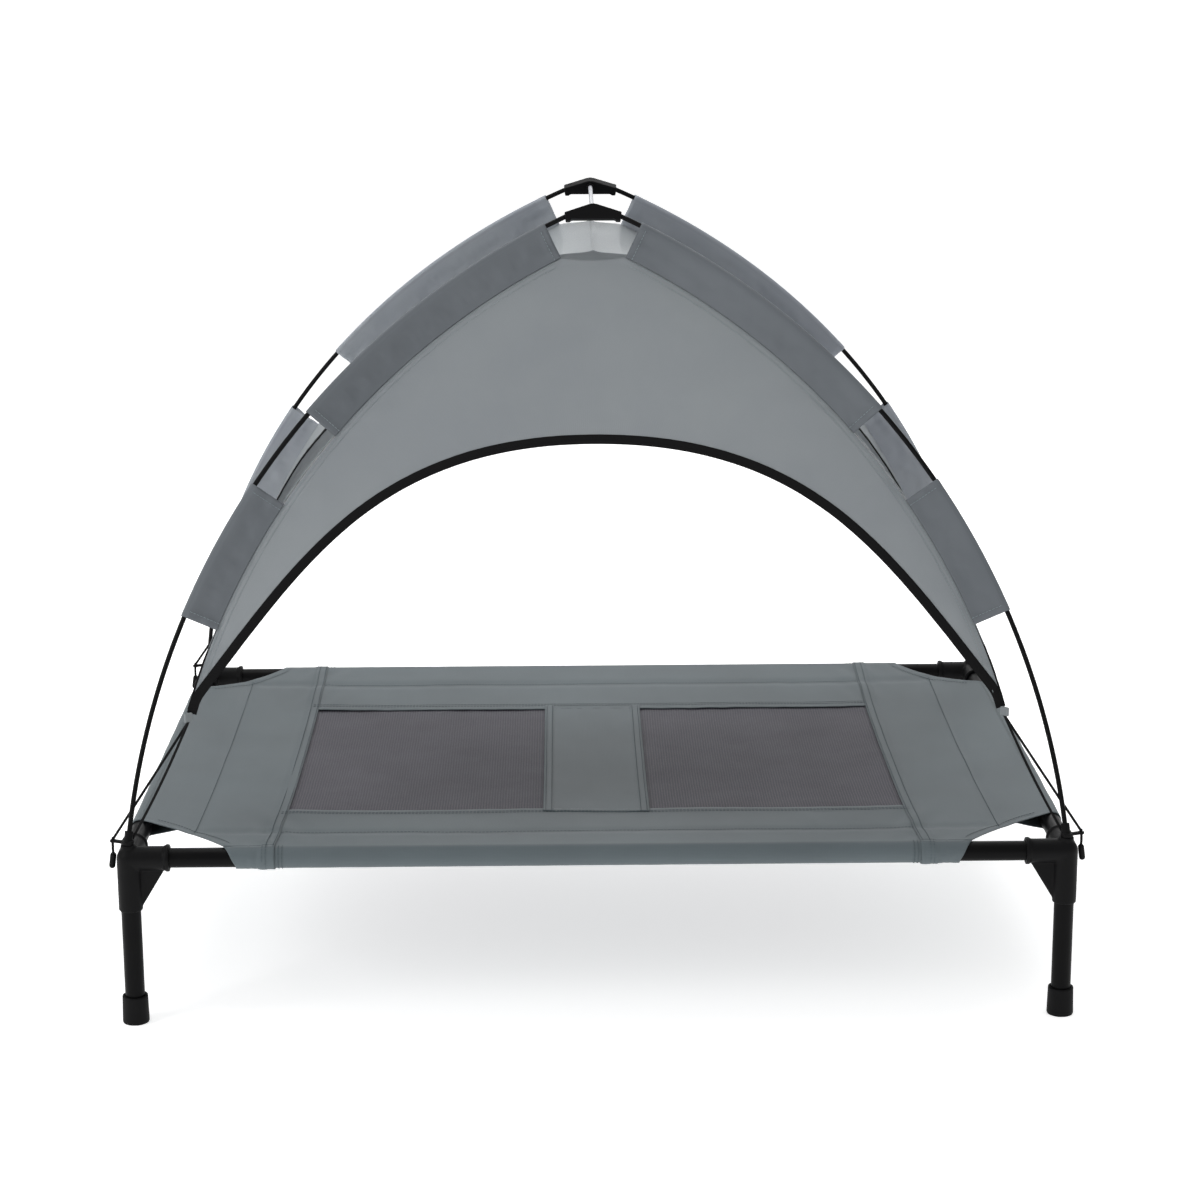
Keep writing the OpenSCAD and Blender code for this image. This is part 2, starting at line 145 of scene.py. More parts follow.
def capEnds(obj):
    # closes a tube or a folded tape at both ends
    bm = bmesh.new()
    bm.from_mesh(obj.data)
    bmesh.ops.holes_fill(bm, edges=[e for e in bm.edges if e.is_boundary])
    bmesh.ops.recalc_face_normals(bm, faces=bm.faces)
    bm.to_mesh(obj.data)
    bm.free()


def sweepTube(name, path, radius, steps, sides=20):
    # a round bar along path(f), f from 0 to 1, closed at both ends
    points = [path(i / steps) for i in range(steps + 1)]
    length = sum((b - a).length for a, b in zip(points, points[1:]))

    def place(u, v):
        i = min(int(round(v * steps)), steps)
        a, b = points[max(i - 1, 0)], points[min(i + 1, steps)]
        along = (b - a).normalized()
        side = along.cross(Vector((0, 0, 1))).normalized()
        up = side.cross(along)
        turn = 2 * math.pi * u
        return points[i] + radius * (math.cos(turn) * side + math.sin(turn) * up)

    obj = gridPatches(name, [(sides, steps, (2 * math.pi * radius, length), place)], 1e-6)
    capEnds(obj)
    return obj


def mouldedCopy(node, name, voxel, rounds):
    # a moulded part has small radii on every edge: a fine remesh, smoothed a little
    mesh = nodes[node].data.copy()
    bm = bmesh.new()
    bm.from_mesh(mesh)
    bmesh.ops.remove_doubles(bm, verts=bm.verts, dist=1e-6)
    bmesh.ops.recalc_face_normals(bm, faces=bm.faces)
    obj = objectFrom(bm, name)
    remesh = obj.modifiers.new("remesh", "REMESH")
    remesh.mode = "VOXEL"
    remesh.voxel_size = voxel
    smooth = obj.modifiers.new("smooth", "SMOOTH")
    smooth.factor = 0.5
    smooth.iterations = rounds
    graph = bpy.context.evaluated_depsgraph_get()
    done = bpy.data.meshes.new_from_object(obj.evaluated_get(graph))
    obj.modifiers.clear()
    obj.data = done
    return obj


def wovenCloth(name, base, other, thread, rough, through=0.0):
    # coated plain-weave polyester: matt with a faint sheen, threads just visible close up;
    # through is how much of the light scatters from one side of the thin cloth to the other
    mat, tree, bsdf = newMaterial(name, **{"Roughness": rough, "Specular IOR Level": 0.3,
                                           "Sheen Weight": 0.1, "Sheen Roughness": 0.45,
                                           "Subsurface Weight": through,
                                           "Subsurface Radius": (1, 1, 1),
                                           "Subsurface Scale": 0.003})
    uv = addNode(tree, "ShaderNodeUVMap", uv_map="cloth")
    place = addNode(tree, "ShaderNodeTexCoord")
    waves = []
    for direction in ("X", "Y"):
        # one band of the wave texture is one thread: scale 1 repeats every 2 pi / 20 units
        waves.append(addNode(tree, "ShaderNodeTexWave",
                             {"Scale": 0.314 / thread, "Distortion": 0.4, "Detail": 1.0},
                             {"Vector": uv.outputs["UV"]}, bands_direction=direction))
    weave = addNode(tree, "ShaderNodeMath", None,
                    {0: waves[0].outputs["Fac"], 1: waves[1].outputs["Fac"]},
                    operation="MULTIPLY")
    slub = addNode(tree, "ShaderNodeTexNoise", {"Scale": 420.0, "Detail": 4.0},
                   {"Vector": place.outputs["Object"]})
    patch = addNode(tree, "ShaderNodeTexNoise", {"Scale": 7.0, "Detail": 3.0},
                    {"Vector": place.outputs["Object"]})
    blotch = addNode(tree, "ShaderNodeMapRange", {"From Min": 0.35, "From Max": 0.65},
                     {"Value": patch.outputs["Fac"]})
    tint = addNode(tree, "ShaderNodeMix", None, {"Factor": blotch.outputs["Result"]},
                   data_type="RGBA")
    tint.inputs[6].default_value = hexLinear(base)
    tint.inputs[7].default_value = hexLinear(other)
    shade = addNode(tree, "ShaderNodeMapRange",
                    {"From Min": 0.0, "From Max": 1.0, "To Min": 0.94, "To Max": 1.04},
                    {"Value": weave.outputs["Value"]})
    colour = addNode(tree, "ShaderNodeVectorMath", None,
                     {0: tint.outputs[2], 1: shade.outputs["Result"]}, operation="MULTIPLY")
    tree.links.new(colour.outputs["Vector"], bsdf.inputs["Base Color"])
    mixed = addNode(tree, "ShaderNodeMath", {1: 0.5},
                    {0: slub.outputs["Fac"], 2: weave.outputs["Value"]},
                    operation="MULTIPLY_ADD")
    bump = addNode(tree, "ShaderNodeBump", {"Strength": 0.22, "Distance": 0.0003},
                   {"Height": mixed.outputs["Value"]})
    tree.links.new(bump.outputs["Normal"], bsdf.inputs["Normal"])
    return mat


def knittedMesh(name):
    # warp-knitted polyester net: fine ribs with rows of small holes between them
    mat, tree, bsdf = newMaterial(name, **{"Roughness": 0.7, "Specular IOR Level": 0.3})
    uv = addNode(tree, "ShaderNodeUVMap", uv_map="cloth")
    ribs = addNode(tree, "ShaderNodeTexWave",
                   {"Scale": 0.314 / 0.0032, "Distortion": 1.2, "Detail": 2.0, "Detail Scale": 0.4},
                   {"Vector": uv.outputs["UV"]}, bands_direction="X")
    holes = addNode(tree, "ShaderNodeTexVoronoi", {"Scale": 520.0}, {"Vector": uv.outputs["UV"]})
    place = addNode(tree, "ShaderNodeTexCoord")
    patch = addNode(tree, "ShaderNodeTexNoise", {"Scale": 16.0, "Detail": 5.0},
                    {"Vector": place.outputs["Object"]})
    ramp = addNode(tree, "ShaderNodeMix", None, {"Factor": ribs.outputs["Fac"]}, data_type="RGBA")
    ramp.inputs[6].default_value = hexLinear("4c4b52")
    ramp.inputs[7].default_value = hexLinear("5f5d64")
    dark = addNode(tree, "ShaderNodeMapRange",
                   {"From Min": 0.2, "From Max": 0.6, "To Min": 1.06, "To Max": 0.86},
                   {"Value": holes.outputs["Distance"]})
    blotch = addNode(tree, "ShaderNodeMapRange",
                     {"From Min": 0.3, "From Max": 0.7, "To Min": 0.92, "To Max": 1.08},
                     {"Value": patch.outputs["Fac"]})
    both = addNode(tree, "ShaderNodeMath", None,
                   {0: dark.outputs["Result"], 1: blotch.outputs["Result"]}, operation="MULTIPLY")
    colour = addNode(tree, "ShaderNodeVectorMath", None,
                     {0: ramp.outputs[2], 1: both.outputs["Value"]}, operation="MULTIPLY")
    tree.links.new(colour.outputs["Vector"], bsdf.inputs["Base Color"])
    bump = addNode(tree, "ShaderNodeBump", {"Strength": 0.4, "Distance": 0.0005},
                   {"Height": ribs.outputs["Fac"]})
    tree.links.new(bump.outputs["Normal"], bsdf.inputs["Normal"])
    return mat


def grainedSolid(name, base, rough, grain, depth, shine=0.2):
    # moulded, coated or extruded solid with a fine surface grain and uneven gloss
    mat, tree, bsdf = newMaterial(name, **{"Base Color": hexLinear(base),
                                           "Specular IOR Level": shine})
    place = addNode(tree, "ShaderNodeTexCoord")
    fine = addNode(tree, "ShaderNodeTexNoise", {"Scale": 1 / grain, "Detail": 3.0},
                   {"Vector": place.outputs["Object"]})
    wide = addNode(tree, "ShaderNodeTexNoise", {"Scale": 35.0, "Detail": 4.0},
                   {"Vector": place.outputs["Object"]})
    gloss = addNode(tree, "ShaderNodeMapRange",
                    {"From Min": 0.3, "From Max": 0.7, "To Min": rough - 0.06,
                     "To Max": rough + 0.07}, {"Value": wide.outputs["Fac"]})
    tree.links.new(gloss.outputs["Result"], bsdf.inputs["Roughness"])
    bump = addNode(tree, "ShaderNodeBump", {"Strength": 0.35, "Distance": depth},
                   {"Height": fine.outputs["Fac"]})
    tree.links.new(bump.outputs["Normal"], bsdf.inputs["Normal"])
    return mat


def ribbedWebbing(name, base, pitch, rough=0.75):
    # woven tape or braided elastic: close ribs across its length
    mat, tree, bsdf = newMaterial(name, **{"Base Color": hexLinear(base), "Roughness": rough,
                                           "Specular IOR Level": 0.12})
    uv = addNode(tree, "ShaderNodeUVMap", uv_map="cloth")
    ribs = addNode(tree, "ShaderNodeTexWave", {"Scale": 0.314 / pitch, "Distortion": 0.6},
                   {"Vector": uv.outputs["UV"]}, bands_direction="DIAGONAL")
    bump = addNode(tree, "ShaderNodeBump", {"Strength": 0.5, "Distance": 0.0003},
                   {"Height": ribs.outputs["Fac"]})
    tree.links.new(bump.outputs["Normal"], bsdf.inputs["Normal"])
    return mat


# cot canvas: woven polyester with a coated back; the eye sees even, matt blue-grey
bedPolyester = wovenCloth("coated polyester bed cloth", "586165", "5d676b", 0.0016, 0.62)
# tent cloth: plain-woven polyester, one layer; light comes through it, and that light is painted into
# its colour, which is set paler than the sleeves' colour on top of the subsurface scatter
canopyPolyesterPaintedThroughLight = wovenCloth("plain-weave polyester canopy", "84898d", "898e91", 0.0014, 0.6, 0.4)
# the same tent cloth folded double: no light comes through, and it looks darker
sleevePolyester = wovenCloth("doubled polyester sleeve", "60656a", "666b70", 0.0014, 0.6)
# a paler version for the sleeves at the back, a colour with painted light so that they look lit from
# behind; it is not another cloth
rearSleevePaintedBacklight = wovenCloth("polyester sleeve at the back with painted backlight", "9398a0", "989da3", 0.0014, 0.6, 0.6)
# sports mesh: warp-knitted polyester; the eye sees fine ribs on a darker, purplish grey
netting = knittedMesh("knitted polyester mesh")
# powder coat: sprayed dry and baked on steel; satin black with a faint orange peel
powderCoat = grainedSolid("black powder-coated steel tube", "0a0a0b", 0.4, 0.0012, 0.0001, 0.08)
# moulded nylon: matt black with the mould's fine grain
nylon = grainedSolid("black moulded nylon", "0f0f10", 0.48, 0.0009, 0.00012, 0.09)
# soft vinyl: dipped or moulded caps; duller than the nylon
softPlastic = grainedSolid("black soft moulded plastic foot", "0e0e0f", 0.58, 0.0008, 0.00015, 0.1)
# tent-pole fibreglass: pultruded rod; smooth black with long soft highlights
fibreglass = grainedSolid("black pultruded fibreglass", "0c0c0d", 0.38, 0.0006, 0.00006, 0.1)
# coated wire rod: pale grey plastic skin with a clear highlight
greyRod = grainedSolid("light grey coated rod", "a9abb0", 0.45, 0.0008, 0.00005, 0.4)
# grosgrain tape: woven with close cross ribs; flat black
tapeBlack = ribbedWebbing("black ribbed binding tape", "101011", 0.0016)
# shock cord: rubber strands under a braided cover; black with a fine twill
elasticBlack = ribbedWebbing("black braided elastic", "141415", 0.0012, 0.65)
# woven tab: folded ribbon, light grey
tabGrey = ribbedWebbing("light grey woven tab", "8a8f91", 0.0016)
# sewing thread: twisted polyester, close to the cloth's own colour
threadGrey = ribbedWebbing("grey polyester thread", "535d61", 0.0008)
threadLight = ribbedWebbing("light grey polyester thread", "8d989b", 0.0008)
print("materials made")

legLow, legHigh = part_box("leg_front_right")
cornerX = (legLow.x + legHigh.x) / 2
cornerY = -(legLow.y + legHigh.y) / 2
tubeR = (legHigh.x - legLow.x) / 2
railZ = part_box("long_rail_front")[1].z - tubeR
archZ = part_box("connector_front_right")[1].z
sides = {"front": -1, "rear": 1}
corners = [("front_left", -1, -1), ("front_right", 1, -1), ("rear_left", -1, 1),
           ("rear_right", 1, 1)]

for node in ("long_rail_front", "long_rail_rear", "short_rail_left", "short_rail_right"):
    nodes[node].data.materials.clear()
    nodes[node].data.materials.append(powderCoat)
for where, sx, sy in corners:
    leg = nodes["leg_" + where]
    leg.data.materials.clear()
    leg.data.materials.append(powderCoat)
    corner = mouldedCopy("connector_" + where, "Connector_" + where, 0.0011, 5)
    finishPiece(corner, "bed", nylon, ["connector_" + where])
    foot = mouldedCopy("foot_" + where, "Foot_" + where, 0.0009, 5)
    finishPiece(foot, "bed", softPlastic, ["foot_" + where])
print("bed frame done")

bed = {
    "seamX": 0.364,        # seams of the end panels
    "meshY": 0.215,        # ends of the mesh windows
    "stripX": 0.062,       # half of the strip between them
    "cutX": 0.105,         # corner cut-out along the long rail
    "cutY": 0.095,         # and along the short rail
    "cutSag": 0.010,       # how far its edge curves in
    "hem": 0.066,          # from a rail's axis to the stitching of its sleeve
    "sag": 0.019,          # how far the middle hangs below the rails
    "cloth": 0.0007,
    "under": 0.0016,       # from the top cloth down to the end of the sleeve's under-layer
    "crease": 0.0016,      # depth of the crease along that stitching
    "soft": 0.0011,        # height of the wide, slack waves
    "pucker": 0.0010,      # of the short puckers beside the seams
    "lines": 0.0005,       # of the fine drag lines
    "seam": 0.0010,        # of one more layer at a felled seam
    "slant": 0.026,        # how far round the rail the cut-out's edge still slants
    "ringsAt": (-0.014, -0.010, 0.004, 0.008),  # rings of stitching, from the end seam
}
wrapR = tubeR + 0.0009
wrapTurn = math.radians(215)
cutLength = math.hypot(bed["cutX"], bed["cutY"])
cutR = cutLength ** 2 / (8 * bed["cutSag"]) + bed["cutSag"] / 2
cutOut = Vector((bed["cutY"], bed["cutX"])) / cutLength
cutO = Vector((cornerX - bed["cutX"] / 2, cornerY - bed["cutY"] / 2)) \
    + (cutR - bed["cutSag"]) * cutOut


def cutXAt(y):
    # where the corner cut-out's edge is at this distance from the middle line
    return cutO.x - math.sqrt(max(cutR ** 2 - (y - cutO.y) ** 2, 0))


def cutYAt(x):
    return cutO.y - math.sqrt(max(cutR ** 2 - (x - cutO.x) ** 2, 0))


def bedZ(x, y):
    # stretched cloth: tangent to the rails, hanging a little in the middle, with a
    # shallow crease along the sleeves' stitching and short puckers beside the seams
    fx, fy = min(abs(x) / cornerX, 1), min(abs(y) / cornerY, 1)
    sag = bed["sag"] * (1 - fx ** 6) * (1 - fy ** 2.2)
    nearX, nearY = cornerX - abs(x), cornerY - abs(y)
    near = min(nearX, nearY)
    crease = bed["crease"] * math.exp(-((near - bed["hem"]) / 0.010) ** 2)
    p = Vector((x * 9, y * 9, 0.3))
    soft = bed["soft"] * noise.noise(p) * smoothStep(near / 0.08)
    pull = math.exp(-((abs(x) - bed["seamX"]) / 0.03) ** 2) * smoothStep((abs(y) - 0.18) / 0.1)
    pucker = bed["pucker"] * pull * math.sin(150 * abs(x) + 60 * abs(y)) * smoothStep(near / 0.03)
    lines = bed["lines"] * noise.noise(Vector((x * 50, y * 14, 2.1))) * smoothStep(near / 0.05)
    return railZ + wrapR - sag - crease + soft + pucker + lines


def seamRise(distance, width=0.010):
    # felled seam: one more layer of cloth that stops at the stitching
    return bed["seam"] * smoothStep((width - abs(distance)) / 0.002)


def roundRail(length, hemZ, lift=0.0):
    # cloth round a rail at a length past its top line: (outwards, height); hemZ is the
    # height of the top cloth where the under-layer is sewn to it
    turn = min(length / wrapR, wrapTurn)
    r = wrapR + lift
    start = (r * math.sin(turn), railZ + r * math.cos(turn))
    f = max(length - wrapTurn * wrapR, 0) / underLength
    return lerp(start[0], -bed["hem"], f), lerp(start[1], hemZ - bed["under"] - lift, f)


underLength = math.hypot(bed["hem"] + wrapR * math.sin(wrapTurn),
                         wrapR - 0.006 - wrapR * math.cos(wrapTurn))
sleeveLength = wrapTurn * wrapR + underLength


def borderPlace(side):
    flat = cornerY - bed["meshY"] + 0.008
    total = flat + sleeveLength

    def place(u, v):
        x = lerp(-bed["seamX"] - 0.006, bed["seamX"] + 0.006, u)
        d = v * total
        if d < flat:
            y = cornerY - flat + d
            z = bedZ(x, side * y) + 0.0006 * smoothStep((0.012 - d) / 0.003)
            return Vector((x, side * y, z))
        out, z = roundRail(d - flat, bedZ(x, cornerY - bed["hem"]))
        ripple = 0.0006 * noise.noise(Vector((x * 40, out * 60, side))) \
            + 0.0008 * noise.noise(Vector((x * 9, out * 20, side + 4)))
        return Vector((x, side * (cornerY + out + abs(ripple)), z))

    return (220, 90, (2 * bed["seamX"], total), place)


for where, side in sides.items():
    cloth = gridPatches("Bed_border_" + where, [borderPlace(side)])
    thicken(cloth, bed["cloth"])
    finishPiece(cloth, "bed", bedPolyester, ["bed_border_" + where])


def endPatches(side):
    width = cornerX - bed["seamX"]

    def top(u, v):
        y = lerp(-cornerY, cornerY, u)
        reach = cornerX if abs(y) < cutYAt(cornerX) else min(cutXAt(abs(y)), cornerX)
        x = lerp(bed["seamX"] - 0.006, reach, v)
        rise = seamRise(x - bed["seamX"]) + 0.0004
        edge = 0.0005 * smoothStep((0.012 - (reach - x)) / 0.003) if reach < cornerX else 0
        return Vector((side * x, y, bedZ(x, y) + rise + edge))

    def overEnd(u, v):
        length = v * sleeveLength
        reach = cutYAt(cornerX + min(length, bed["slant"]))
        y = lerp(-reach, reach, u)
        ripple = 0.0010 * abs(noise.noise(Vector((y * 22, length * 40, side))))
        out, z = roundRail(length, bedZ(cornerX - bed["hem"], y), 0.0004 + ripple * smoothStep(v * 6))
        return Vector((side * (cornerX + out), y, z))

    def overRail(end):
        def place(u, v):
            length = v * sleeveLength
            reach = cutXAt(cornerY + min(length, bed["slant"]))
            x = lerp(bed["seamX"] - 0.006, reach, u)
            band = seamRise(x - bed["seamX"], lerp(0.010, 0.014, smoothStep(v * 6)))
            ripple = 0.0012 * abs(noise.noise(Vector((x * 90, length * 50, side + end))))
            lift = 0.0004 + band + ripple * smoothStep(v * 6)
            out, z = roundRail(length, bedZ(x, cornerY - bed["hem"]), lift)
            return Vector((side * x, end * (cornerY + out), z))
        return place

    return [(150, 50, (2 * cornerY, width), top),
            (120, 44, (2 * cornerY, sleeveLength), overEnd),
            (24, 44, (0.06, sleeveLength), overRail(-1)),
            (24, 44, (0.06, sleeveLength), overRail(1))]


for where, side in (("left", -1), ("right", 1)):
    cloth = gridPatches("Bed_end_" + where, endPatches(side))
    thicken(cloth, bed["cloth"])
    finishPiece(cloth, "bed", bedPolyester, ["bed_end_" + where])


def stripPlace(u, v):
    x = lerp(-bed["stripX"], bed["stripX"], u)
    y = lerp(-bed["meshY"] - 0.004, bed["meshY"] + 0.004, v)
    return Vector((x, y, bedZ(x, y) + 0.0006 + 0.8 * seamRise(bed["stripX"] - abs(x), 0.012)))


strip = gridPatches("Bed_centre_strip", [(60, 120, (2 * bed["stripX"], 2 * bed["meshY"]), stripPlace)])
thicken(strip, bed["cloth"])
finishPiece(strip, "bed", bedPolyester, ["bed_centre_strip"])

for where, side in (("left", -1), ("right", 1)):
    def meshPlace(u, v):
        x = lerp(bed["stripX"] - 0.010, bed["seamX"] + 0.004, u)
        y = lerp(-bed["meshY"] - 0.008, bed["meshY"] + 0.008, v)
        loose = 0.0006 * noise.noise(Vector((side * x * 30, y * 30, 5)))
        return Vector((side * x, y, bedZ(x, y) - 0.0012 + loose))
    width = bed["seamX"] - bed["stripX"] + 0.014
    net = gridPatches("Mesh_" + where, [(120, 150, (width, 2 * bed["meshY"] + 0.016), meshPlace)])
    thicken(net, 0.0006)
    finishPiece(net, "bed", netting, ["mesh_" + where])
print("bed cloth done")


def stitchRows(name, rows, body, material, pitch=0.0042, dash=0.0028, width=0.0006):
    # short threads laid along each row of points, a little proud of the cloth
    bm = bmesh.new()
    for points, lift in rows:
        spare = 0.0
        for a, b in zip(points, points[1:]):
            along = b - a
            length = along.length
            if length < 1e-7:
                continue
            along.normalize()
            side = along.cross(lift).normalized()
            up = side.cross(along)
            at = spare
            while at < length:
                turn = Matrix((side, along, up)).transposed().to_4x4()
                size = Matrix.Diagonal((width, dash, width * 0.7, 1))
                put = Matrix.Translation(a + along * at + up * width * 0.3) @ turn @ size
                bmesh.ops.create_cube(bm, size=1, matrix=put)
                at += pitch
            spare = at - length
    bmesh.ops.recalc_face_normals(bm, faces=bm.faces)
    obj = objectFrom(bm, name)
    obj.data.uv_layers.new(name="cloth")
    finishPiece(obj, body, material)
    for p in obj.data.polygons:
        p.use_smooth = False
    return obj


def bedLine(points, steps=60, lift=0.0013):
    # a straight row on the bed between two (x, y) points
    (x0, y0), (x1, y1) = points
    row = []
    for i in range(steps + 1):
        x, y = lerp(x0, x1, i / steps), lerp(y0, y1, i / steps)
        row.append(Vector((x, y, bedZ(x, y) + lift)))
    return row, Vector((0, 0, 1))


hemY = cornerY - bed["hem"]
hemX = cornerX - bed["hem"]
rows = []
for sx in (-1, 1):
    for offset in (-0.004, 0.004):
        x = sx * (bed["seamX"] + offset)
        rows.append(bedLine(((x, -cornerY), (x, cornerY)), lift=0.0021))
    for offset in (0.003, 0.010):
        x = sx * (bed["stripX"] - offset)
        rows.append(bedLine(((x, -bed["meshY"]), (x, bed["meshY"])), lift=0.0021))
    rows.append(bedLine(((sx * hemX, -cutYAt(hemX) + 0.01), (sx * hemX, cutYAt(hemX) - 0.01))))
for sy in (-1, 1):
    rows.append(bedLine(((-bed["seamX"], sy * hemY), (bed["seamX"], sy * hemY))))
    for offset in (0.003, 0.009):
        y = sy * (bed["meshY"] + offset)
        rows.append(bedLine(((-bed["seamX"], y), (bed["seamX"], y)), lift=0.0014))
    for sx in (-1, 1):
        edge = []
        for i in range(31):
            x = lerp(cornerX - bed["cutX"] + 0.004, cornerX - 0.012, i / 30) - 0.008
            y = cutYAt(x + 0.008) - 0.009
            edge.append(Vector((sx * x, sy * y, bedZ(x, y) + 0.0014)))
        rows.append((edge, Vector((0, 0, 1))))
stitchRows("Bed_stitching", rows, "bed", threadGrey)
# rings of stitching round the rail sleeves where the end panels join
rows = []
for sy in (-1, 1):
    rightRings = [bed["seamX"] + offset for offset in bed["ringsAt"]]
    for x in [-ring for ring in reversed(rightRings)] + rightRings:
        lift = 0.0018 if abs(x) > bed["seamX"] else 0.0008
        row = []
        for i in range(25):
            out, z = roundRail(wrapR * wrapTurn * i / 24, railZ, lift)
            row.append(Vector((x, sy * (cornerY + out), z)))
        rows.append((row, Vector((1, 0, 0))))
stitchRows("Sleeve_stitching", rows, "bed", threadGrey, width=0.0007)
print("bed stitching done")

arch = {
    "lean": math.radians(18.44),
    "footAngle": math.radians(5),    # a pole's slope where it leaves its foot
    "web": 0.038,                    # from a pole's axis in to the seam
    "hubW": 0.0646,
    "hubEnd": 0.0094,
    "hubDepth": 0.012,
    "grip": 0.010,                   # how far a pole goes into its hub
    "poleR": 0.00275,
    "lowSleeve": (0.260, 0.427),     # along the pole from its foot
    "upSleeve": 0.527,
    "topBare": 0.035,                # bare pole between the upper sleeve and the hub
    "topHalf": 0.036,                # half of the panel's straight top edge
    "tipH": 0.141,                   # up to the panels' lower corners
    "frontRise": 0.302,              # from there to the crown of the front opening
    "sideRise": 0.287,
    "bind": 0.011,
    "flare": math.radians(51),       # slope of an opening at its lower corners
    "seamBack": 0.010,               # how far the seams lie behind the poles
    "cloth": 0.0006,
    # soft pulls from the sleeves' ends: height up the arch, depth, slope
    "pulls": ((0.398, 0.0024, 0.5), (0.476, 0.0018, -0.2), (0.255, 0.0016, 0.9)),
}
sinL, cosL = math.sin(arch["lean"]), math.cos(arch["lean"])
apexT = (cadHigh.z - archZ - arch["hubDepth"] / 2 * sinL) / cosL
poleEnd = (arch["hubW"] / 2 - arch["grip"], apexT - arch["hubEnd"] - 0.0005)
chord = math.hypot(cornerX - poleEnd[0], poleEnd[1])
chordAngle = math.atan2(cornerX - poleEnd[0], poleEnd[1])
arcR = chord / (2 * math.sin(chordAngle - arch["footAngle"]))
arcX = cornerX - arcR * math.cos(arch["footAngle"])
arcT = -arcR * math.sin(arch["footAngle"])
endAngle = 2 * chordAngle - arch["footAngle"]
seamR = arcR - arch["web"]


def onArch(side, x, t, n=0.0):
    # x across the bed, t up the leaning arch, n outwards; side -1 is the front
    return Vector((x, side * (cornerY - t * sinL + n * cosL), archZ + t * cosL + n * sinL))


def poleAngle(length):
    return arch["footAngle"] + length / arcR


def onArc(side, sx, angle, r, n=0.0):
    return onArch(side, sx * (arcX + r * math.cos(angle)), arcT + r * math.sin(angle), n)


def seamX(t):
    return arcX + math.sqrt(max(seamR ** 2 - (t - arcT) ** 2, 0))


def seamT(x):
    return arcT + math.sqrt(seamR ** 2 - (x - arcX) ** 2)


topT = seamT(arch["topHalf"])
tipAngle = math.asin((arch["tipH"] - arcT) / seamR)
topAngle = math.acos((arch["topHalf"] - arcX) / seamR)
tipX = seamX(arch["tipH"])
tipY = cornerY - arch["tipH"] * sinL
tipZ = archZ + arch["tipH"] * cosL


def flare(w, h, f):
    # crown-to-corner curve of an arched opening
    p0, p1, p3 = Vector((0, h)), Vector((0.57 * w, h)), Vector((w, 0))
    p2 = p3 + 0.42 * w * Vector((-math.cos(arch["flare"]), math.sin(arch["flare"])))
    g = 1 - f
    return g ** 3 * p0 + 3 * g * g * f * p1 + 3 * g * f * f * p2 + f ** 3 * p3


def flareOff(w, h, s, d):
    # the whole curve for s from -1 to 1, moved outwards by d
    f = abs(s)
    a, b = flare(w, h, max(f - 0.01, 0)), flare(w, h, min(f + 0.01, 1))
    n = Vector((a.y - b.y, b.x - a.x)).normalized()
    p = flare(w, h, f) + d * n
    return Vector((math.copysign(p.x, s), p.y))


# poles and hubs
for where, sx, sy in corners:
    pole = sweepTube("Pole_" + where, lambda f: onArc(sy, sx, lerp(
        poleAngle(0.0022), endAngle, f), arcR), arch["poleR"], 160)
    finishPiece(pole, "canopy", fibreglass, ["pole_" + where])
    poleFoot = mouldedCopy("pole_foot_" + where, "Pole_foot_" + where, 0.0006, 4)
    finishPiece(poleFoot, "canopy", nylon, ["pole_foot_" + where])
for where, side in sides.items():
    hub = mouldedCopy("hub_" + where, "Hub_" + where, 0.0006, 5)
    finishPiece(hub, "canopy", nylon, ["hub_" + where])
rodLow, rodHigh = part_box("ridge_rod")
rodR = (rodHigh.z - rodLow.z) / 2
rodZ = (rodLow.z + rodHigh.z) / 2
rod = sweepTube("Ridge_rod", lambda f: Vector((0, lerp(rodLow.y, rodHigh.y, f),
                rodZ - 0.006 * math.sin(math.pi * f) ** 2)), rodR, 60)
finishPiece(rod, "canopy", greyRod, ["ridge_rod"])
rings = mouldedCopy("rod_grommets", "Rod_grommets", 0.0004, 3)
finishPiece(rings, "canopy", softPlastic, ["rod_grommets"])
print("canopy frame done")


def softMin(a, b, reach):
    f = min(max(0.5 + (b - a) / (2 * reach), 0), 1)
    return lerp(b, a, f) - reach * f * (1 - f)


def panelOut(x, t, seed):
    # how far the front cloth stands from the flat of its arch: held back at the seams,
    # a little fuller between them, with soft pulls from the ends of the sleeves
    toLeft = seamR - math.hypot(x + arcX, t - arcT)
    toRight = seamR - math.hypot(x - arcX, t - arcT)
    toSeam = max(softMin(toLeft, toRight, 0.05), 0)
    toSeam = max(softMin(toSeam, topT - t, 0.03), 0)
    n = -arch["seamBack"] * (0.45 + 0.55 * math.exp(-toSeam / 0.04))
    n += 0.0016 * noise.noise(Vector((x * 7, t * 5, seed))) * smoothStep(toSeam / 0.03)
    n += 0.0004 * noise.noise(Vector((x * 30, t * 18, seed + 3))) * smoothStep(toSeam / 0.02)
    side = max(arcX + seamR - abs(x), 0)
    near = softMin(toLeft, toRight, 0.01)
    for t0, size, slope in arch["pulls"]:
        along = t - t0 + slope * near
        n += size * math.exp(-(along / 0.013) ** 2) * math.exp(-near / 0.05) \
            * smoothStep(near / 0.012) * smoothStep(side / 0.1)
    return n


